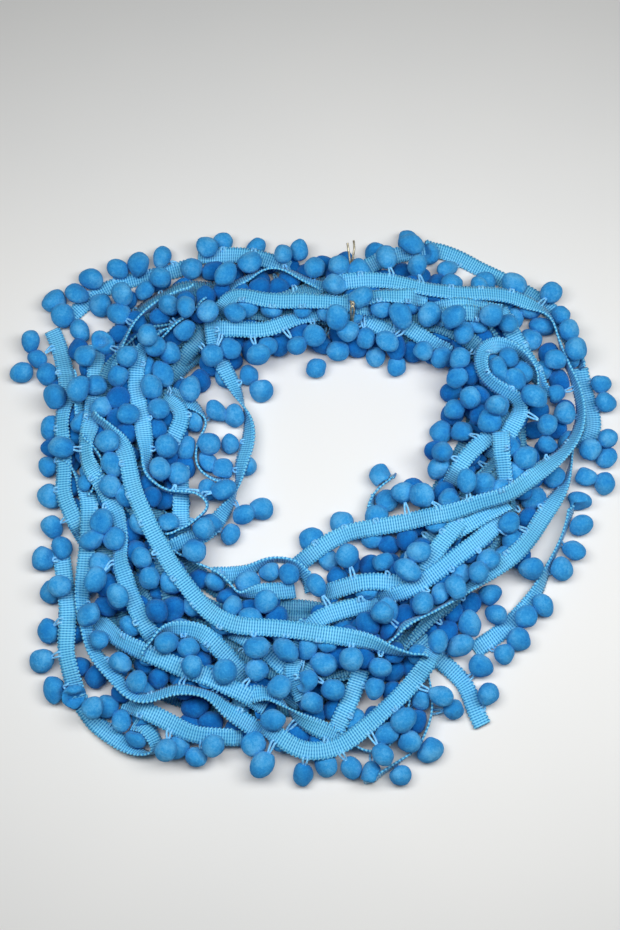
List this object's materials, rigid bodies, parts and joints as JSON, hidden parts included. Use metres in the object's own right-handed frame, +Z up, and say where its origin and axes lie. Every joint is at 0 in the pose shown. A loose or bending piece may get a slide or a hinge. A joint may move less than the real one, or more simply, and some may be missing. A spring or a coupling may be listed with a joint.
{
  "type": "pompom fringe trim hank",
  "caption": "Loose flat hank of woven tape with a row of soft pompoms looped to one edge, wound into a ring and drawn in by a thin wire tie.",
  "frame": {"origin": "middle of the hank's outline, at the level that it lies on", "axes": "+Z up from the surface, +X along the longer side to the right, +Y towards the tied side at the back"},
  "size_m": [0.3618, 0.3449, 0.0511],
  "materials": {
    "woven_tape": "ribbed woven tape, light blue, with a soft lustre",
    "pompom_fringe": "matte, fuzzy cut yarn, mid blue",
    "tie_wire": "thin soft wire, dull gold"
  },
  "bodies": {
    "root": {"back_arch": "pompom_fringe", "back_left_corner": "pompom_fringe", "back_rim_left": "pompom_fringe", "back_rim_right": "pompom_fringe", "back_tape_left": "pompom_fringe", "back_tape_left_upper": "pompom_fringe", "back_tape_right": "pompom_fringe", "corner_front_left": "pompom_fringe", "front_left_hook": "pompom_fringe", "front_left_long": "pompom_fringe", "front_left_wave": "pompom_fringe", "front_ribbon": "pompom_fringe", "front_right_tip": "pompom_fringe", "front_rim_left": "pompom_fringe", "front_rim_right": "pompom_fringe", "front_slant": "pompom_fringe", "front_sweep": "pompom_fringe", "front_tape_left": "pompom_fringe", "front_tape_middle": "pompom_fringe", "front_upright": "pompom_fringe", "hole_back_middle": "pompom_fringe", "hole_back_right": "pompom_fringe", "hole_front_arc": "pompom_fringe", "hole_front_bridge": "pompom_fringe", "hole_front_edge": "pompom_fringe", "hole_left_back": "pompom_fringe", "hole_left_curl": "pompom_fringe", "hole_left_front": "pompom_fringe", "left_edge_back": "pompom_fringe", "left_inner": "pompom_fringe", "left_long_back": "pompom_fringe", "left_long_curl": "pompom_fringe", "left_long_middle": "pompom_fringe", "left_slant": "pompom_fringe", "left_standing": "pompom_fringe", "left_sweep_back": "pompom_fringe", "left_sweep_front": "pompom_fringe", "outer_left_low": "pompom_fringe", "outer_left_top": "pompom_fringe", "outer_right_back": "pompom_fringe", "outer_right_front": "pompom_fringe", "right_fan": "pompom_fringe", "right_front_end": "pompom_fringe", "right_front_inner": "pompom_fringe", "right_front_long": "pompom_fringe", "right_front_pair": "pompom_fringe", "right_front_twin": "pompom_fringe", "right_loop_back": "pompom_fringe", "right_loop_front": "pompom_fringe", "right_middle": "pompom_fringe", "right_sweep_back": "pompom_fringe", "right_sweep_front": "pompom_fringe", "right_sweep_inner": "pompom_fringe", "tie": "tie_wire", "wound_middle": "woven_tape"}
  },
  "joints": []
}
